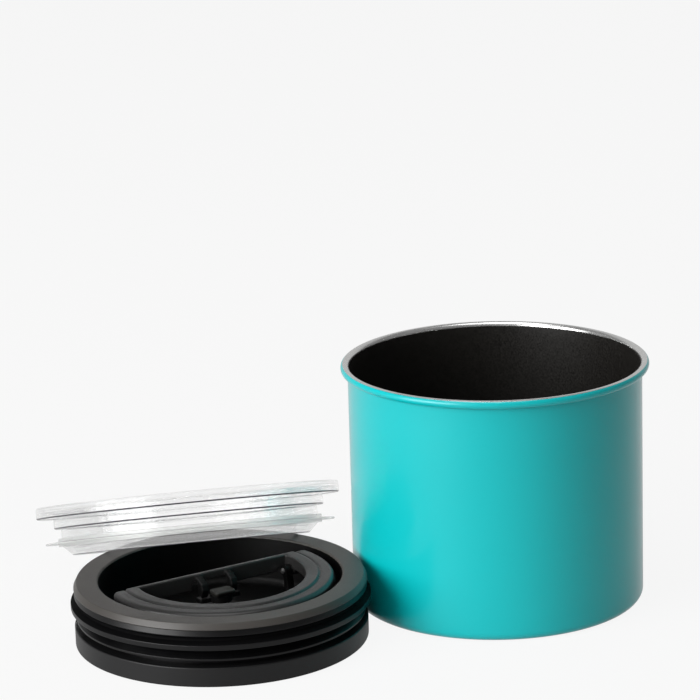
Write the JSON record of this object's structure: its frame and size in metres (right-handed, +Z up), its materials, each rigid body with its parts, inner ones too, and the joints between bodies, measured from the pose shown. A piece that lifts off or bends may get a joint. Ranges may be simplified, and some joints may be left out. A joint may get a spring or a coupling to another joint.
{
  "type": "coffee canister with valve",
  "caption": "Steel coffee canister with a rolled rim, beside its plunger lid with a folding handle that works an air valve, and a clear outer lid leaning on it.",
  "frame": {"origin": "centre of the canister's base, on the table", "axes": "+Z up along the canister's axis, out of its mouth; the inner lid stands in front and to the left (-X, -Y) and the outer lid leans on it behind"},
  "size_m": [0.2583, 0.197, 0.1014],
  "materials": {
    "teal_enamel": "gloss enamel outside, bare steel along the curl, dark satin coating inside",
    "dark_coating": "satin",
    "lid_plastic": "fine matte",
    "grip_plastic": "satin",
    "dark_silicone": "satin",
    "button_plastic": "satin",
    "pin_steel": "satin",
    "clear_plastic": "clear, polished",
    "clear_silicone": "translucent, matte"
  },
  "bodies": {
    "canister": {"canister_wall": "teal_enamel", "canister_base": "dark_coating"},
    "inner_lid": {"lid_body": "lid_plastic", "lid_base": "lid_plastic", "bottom_plate": "lid_plastic", "upper_seal": "dark_silicone", "lower_seal": "dark_silicone", "valve_housing": "lid_plastic", "housing_screws": "pin_steel", "valve_spring": "pin_steel"},
    "handle": {"handle": "grip_plastic", "pivot_pins": "pin_steel"},
    "valve": {"valve_stem": "grip_plastic", "valve_plug": "dark_silicone", "valve_crosshead": "grip_plastic", "valve_button": "button_plastic"},
    "outer_lid": {"outer_lid": "clear_plastic", "outer_lid_seal": "clear_silicone"}
  },
  "joints": [
    {"name": "inner_lid_lift", "type": "slide", "parent": "canister", "child": "inner_lid", "axis": [0, 0, 1], "range_m": [0, 0.07]},
    {"name": "outer_lid_lift", "type": "slide", "parent": "inner_lid", "child": "outer_lid", "axis": [0, 0, 1], "range_m": [0, 0.07]},
    {"name": "handle_turn", "type": "hinge", "parent": "inner_lid", "child": "handle", "pos_m": [-0.11558, -0.04049, 0.0203], "axis": [-0.848, -0.5299, 0], "range_deg": [0, 86]},
    {"name": "valve_slide", "type": "slide", "parent": "inner_lid", "child": "valve", "axis": [0, 0, 1], "range_m": [0, 0.00185], "deforming": ["valve_spring"]}
  ],
  "couplings": [
    {"joint": "valve_slide", "follows": "handle_turn", "m_per_rad": 0.0011992}
  ]
}
